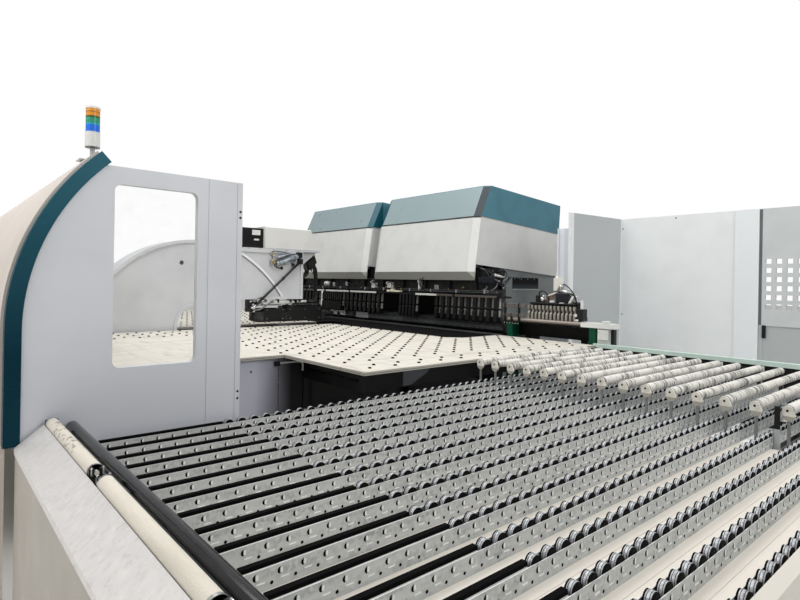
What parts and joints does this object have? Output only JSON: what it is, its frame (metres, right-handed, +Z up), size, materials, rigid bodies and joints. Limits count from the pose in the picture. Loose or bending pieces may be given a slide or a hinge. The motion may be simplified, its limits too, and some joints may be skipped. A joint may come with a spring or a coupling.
{
  "type": "panel bender",
  "caption": "Sheet-metal panel bender with tilting blankholder, travelling C-frame manipulator, brush worktable, curved front shield and wheel conveyor.",
  "frame": {"origin": "on the floor under the middle of the bend line", "axes": "+X along the bend line to the conveyor side, +Y from the operator side to the press, +Z up"},
  "size_m": [10.842, 7.335, 3.0275],
  "materials": {
    "machine_grey": "satin paint",
    "cover_grey": "satin paint, light grey",
    "cover_teal": "satin paint, blue-green",
    "trim_teal": "satin paint, dark blue-green",
    "shield_cream": "satin paint, off-white",
    "frame_grey": "satin paint, mid grey",
    "dark_steel": "oiled dark steel",
    "tool_steel": "ground tool steel, darkened",
    "table_cream": "perforated plate, cream",
    "brush_black": "nylon bristle, black",
    "galvanised": "galvanised sheet",
    "skate_wheels": "dark plastic wheels",
    "sleeve_white": "off-white roller sleeve, scuffed",
    "felt_beige": "felt cover",
    "tube_dark": "dark glossy sleeve",
    "bracket_light": "light bracket",
    "block_black": "black bracket",
    "mint_rail": "satin paint, mint green",
    "window_clear": "clear pane",
    "lens_orange": "stacked lens modules",
    "motor_black": "satin black",
    "ram_chrome": "hard chrome"
  },
  "bodies": {
    "machine": {"press_base": "frame_grey", "side_frames": "frame_grey", "counterblade": "dark_steel", "table_tops": "table_cream", "table_frame": "frame_grey", "black_brushes": "brush_black", "front_shield": "shield_cream", "shield_trims": "trim_teal", "end_wall_right": "machine_grey", "end_wall_left": "machine_grey", "window_panes": "window_clear", "signal_tower": "lens_orange", "conveyor_fascia": "galvanised", "conveyor_frame": "machine_grey", "skate_rails": "galvanised", "wheel_rows": "skate_wheels", "front_tube": "tube_dark", "felt_roller_blocks": "block_black", "rear_rail": "mint_rail", "changer_rail": "frame_grey", "guard_fence": "machine_grey"},
    "blankholder": {"blankholder_beam": "dark_steel", "blankholder_arms": "frame_grey", "blankholder_tools": "tool_steel", "cover_right_lower": "cover_grey", "cover_right_upper": "cover_teal", "cover_left_lower": "cover_grey", "cover_left_upper": "cover_teal"},
    "blade_carrier": {"blade_carrier": "dark_steel", "bending_blades": "tool_steel"},
    "manipulator": {"manipulator_frame": "machine_grey", "manipulator_head": "machine_grey", "manipulator_motor": "motor_black"},
    "clamp_ram": {"clamp_ram": "ram_chrome"},
    "upper_gripper": {"upper_gripper": "dark_steel"},
    "lower_gripper": {"lower_gripper": "dark_steel"},
    "tool_carriage": {"tool_carriage": "dark_steel", "tool_comb": "tool_steel"},
    "guard_door": {"guard_door": "machine_grey"},
    "felt_roller_1": {"felt_roller_1": "felt_beige"},
    "felt_roller_2": {"felt_roller_2": "felt_beige"},
    "felt_roller_3": {"felt_roller_3": "felt_beige"},
    "roller_lift": {"lift_frame": "frame_grey", "roller_brackets": "bracket_light"},
    "bed_roller_01": {"bed_roller_01": "sleeve_white"},
    "bed_roller_02": {"bed_roller_02": "sleeve_white"},
    "bed_roller_03": {"bed_roller_03": "sleeve_white"},
    "bed_roller_04": {"bed_roller_04": "sleeve_white"},
    "bed_roller_05": {"bed_roller_05": "sleeve_white"},
    "bed_roller_06": {"bed_roller_06": "sleeve_white"},
    "bed_roller_07": {"bed_roller_07": "sleeve_white"},
    "bed_roller_08": {"bed_roller_08": "sleeve_white"},
    "bed_roller_09": {"bed_roller_09": "sleeve_white"},
    "bed_roller_10": {"bed_roller_10": "sleeve_white"},
    "bed_roller_11": {"bed_roller_11": "sleeve_white"},
    "bed_roller_12": {"bed_roller_12": "sleeve_white"},
    "bed_roller_13": {"bed_roller_13": "sleeve_white"},
    "bed_roller_14": {"bed_roller_14": "sleeve_white"},
    "bed_roller_15": {"bed_roller_15": "sleeve_white"},
    "bed_roller_16": {"bed_roller_16": "sleeve_white"}
  },
  "joints": [
    {"name": "blankholder_tilt", "type": "hinge", "parent": "machine", "child": "blankholder", "pos_m": [0, 1.95, 1.4], "axis": [1, 0, 0], "range_deg": [0, 3.7]},
    {"name": "blade_lift", "type": "slide", "parent": "machine", "child": "blade_carrier", "axis": [0, 0, 1], "range_m": [-0.08, 0.08]},
    {"name": "manipulator_travel", "type": "slide", "parent": "machine", "child": "manipulator", "axis": [0, 1, 0], "range_m": [-0.7, 0.7]},
    {"name": "clamp_close", "type": "slide", "parent": "manipulator", "child": "clamp_ram", "axis": [0, 0, 1], "range_m": [-0.048, 0]},
    {"name": "upper_gripper_turn", "type": "hinge", "parent": "clamp_ram", "child": "upper_gripper", "pos_m": [0, -1.478, 1.2], "axis": [0, 0, 1], "continuous": true},
    {"name": "lower_gripper_turn", "type": "hinge", "parent": "manipulator", "child": "lower_gripper", "pos_m": [0, -1.478, 1.04], "axis": [0, 0, 1], "continuous": true},
    {"name": "tool_carriage_travel", "type": "slide", "parent": "machine", "child": "tool_carriage", "axis": [1, 0, 0], "range_m": [-0.26, 0.15]},
    {"name": "guard_door_hinge", "type": "hinge", "parent": "machine", "child": "guard_door", "pos_m": [6.245, 1.589, 1.3], "axis": [0, 0, -1], "range_deg": [0, 100]},
    {"name": "felt_roller_1_spin", "type": "hinge", "parent": "machine", "child": "felt_roller_1", "pos_m": [4.575, -5.063, 1.035], "axis": [1, 0, 0], "continuous": true},
    {"name": "felt_roller_2_spin", "type": "hinge", "parent": "machine", "child": "felt_roller_2", "pos_m": [5.555, -5.063, 1.035], "axis": [1, 0, 0], "continuous": true},
    {"name": "felt_roller_3_spin", "type": "hinge", "parent": "machine", "child": "felt_roller_3", "pos_m": [6.4, -5.063, 1.035], "axis": [1, 0, 0], "continuous": true},
    {"name": "roller_bed_lift", "type": "slide", "parent": "machine", "child": "roller_lift", "axis": [0, 0, 1], "range_m": [-0.16, 0]},
    {"name": "bed_roller_01_spin", "type": "hinge", "parent": "roller_lift", "child": "bed_roller_01", "pos_m": [4.089, -1.2225, 1.055], "axis": [0, 1, 0], "continuous": true},
    {"name": "bed_roller_02_spin", "type": "hinge", "parent": "roller_lift", "child": "bed_roller_02", "pos_m": [4.241, -1.2225, 1.055], "axis": [0, 1, 0], "continuous": true},
    {"name": "bed_roller_03_spin", "type": "hinge", "parent": "roller_lift", "child": "bed_roller_03", "pos_m": [4.393, -1.2225, 1.055], "axis": [0, 1, 0], "continuous": true},
    {"name": "bed_roller_04_spin", "type": "hinge", "parent": "roller_lift", "child": "bed_roller_04", "pos_m": [4.545, -1.2225, 1.055], "axis": [0, 1, 0], "continuous": true},
    {"name": "bed_roller_05_spin", "type": "hinge", "parent": "roller_lift", "child": "bed_roller_05", "pos_m": [4.697, -1.2225, 1.055], "axis": [0, 1, 0], "continuous": true},
    {"name": "bed_roller_06_spin", "type": "hinge", "parent": "roller_lift", "child": "bed_roller_06", "pos_m": [4.849, -1.2225, 1.055], "axis": [0, 1, 0], "continuous": true},
    {"name": "bed_roller_07_spin", "type": "hinge", "parent": "roller_lift", "child": "bed_roller_07", "pos_m": [5.001, -1.2225, 1.055], "axis": [0, 1, 0], "continuous": true},
    {"name": "bed_roller_08_spin", "type": "hinge", "parent": "roller_lift", "child": "bed_roller_08", "pos_m": [5.153, -1.2225, 1.055], "axis": [0, 1, 0], "continuous": true},
    {"name": "bed_roller_09_spin", "type": "hinge", "parent": "roller_lift", "child": "bed_roller_09", "pos_m": [5.305, -1.2225, 1.055], "axis": [0, 1, 0], "continuous": true},
    {"name": "bed_roller_10_spin", "type": "hinge", "parent": "roller_lift", "child": "bed_roller_10", "pos_m": [5.457, -1.2225, 1.055], "axis": [0, 1, 0], "continuous": true},
    {"name": "bed_roller_11_spin", "type": "hinge", "parent": "roller_lift", "child": "bed_roller_11", "pos_m": [5.609, -1.2225, 1.055], "axis": [0, 1, 0], "continuous": true},
    {"name": "bed_roller_12_spin", "type": "hinge", "parent": "roller_lift", "child": "bed_roller_12", "pos_m": [5.761, -1.2225, 1.055], "axis": [0, 1, 0], "continuous": true},
    {"name": "bed_roller_13_spin", "type": "hinge", "parent": "roller_lift", "child": "bed_roller_13", "pos_m": [5.913, -1.2225, 1.055], "axis": [0, 1, 0], "continuous": true},
    {"name": "bed_roller_14_spin", "type": "hinge", "parent": "roller_lift", "child": "bed_roller_14", "pos_m": [6.065, -1.2225, 1.055], "axis": [0, 1, 0], "continuous": true},
    {"name": "bed_roller_15_spin", "type": "hinge", "parent": "roller_lift", "child": "bed_roller_15", "pos_m": [6.217, -1.2225, 1.055], "axis": [0, 1, 0], "continuous": true},
    {"name": "bed_roller_16_spin", "type": "hinge", "parent": "roller_lift", "child": "bed_roller_16", "pos_m": [6.369, -1.2225, 1.055], "axis": [0, 1, 0], "continuous": true}
  ],
  "couplings": [
    {"joint": "lower_gripper_turn", "follows": "upper_gripper_turn", "ratio": 1}
  ]
}
